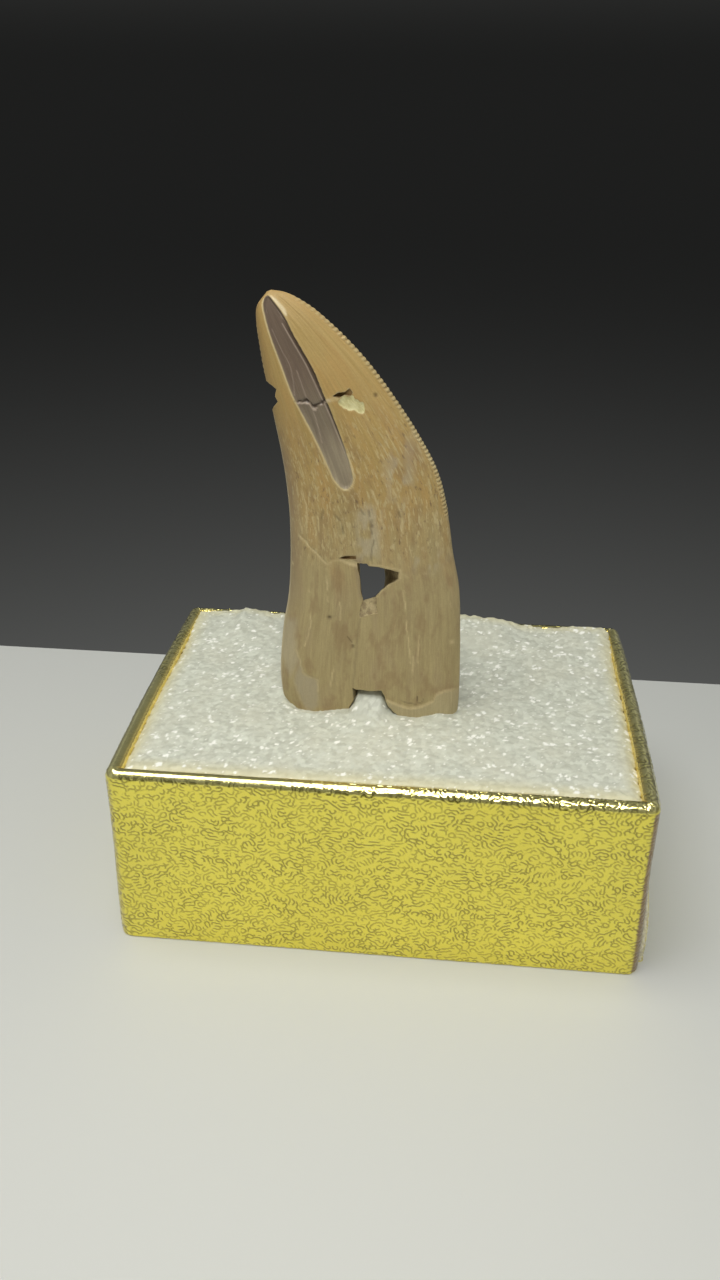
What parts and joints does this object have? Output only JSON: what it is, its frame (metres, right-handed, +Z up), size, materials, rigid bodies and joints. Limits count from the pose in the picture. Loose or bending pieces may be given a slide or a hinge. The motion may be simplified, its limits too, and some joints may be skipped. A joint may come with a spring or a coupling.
{
  "type": "fossil dinosaur tooth on a foam-filled gift box",
  "caption": "Recurved fossil theropod tooth with serrated edges, worn tip facet and a broken-through root, standing in the foam of a small gold-paper box.",
  "frame": {"origin": "middle of the box's underside, on the surface it stands on", "axes": "+Z up, +X to the right along the box's long front side, +Y from the shown front towards the back"},
  "size_m": [0.085, 0.0574, 0.1009],
  "materials": {
    "fossil_enamel": "satin fossil enamel and dentine, tan to brown, fine lengthwise cracks",
    "pearl_foam": "translucent white cellular packing foam with a pearly sparkle",
    "grey_board": "unfinished grey board",
    "gold_paper": "gold foil paper embossed with fine wandering creases"
  },
  "bodies": {
    "root": {"tooth": "fossil_enamel", "foam_insert": "pearl_foam", "box_board": "grey_board", "gold_wrap": "gold_paper"}
  },
  "joints": []
}
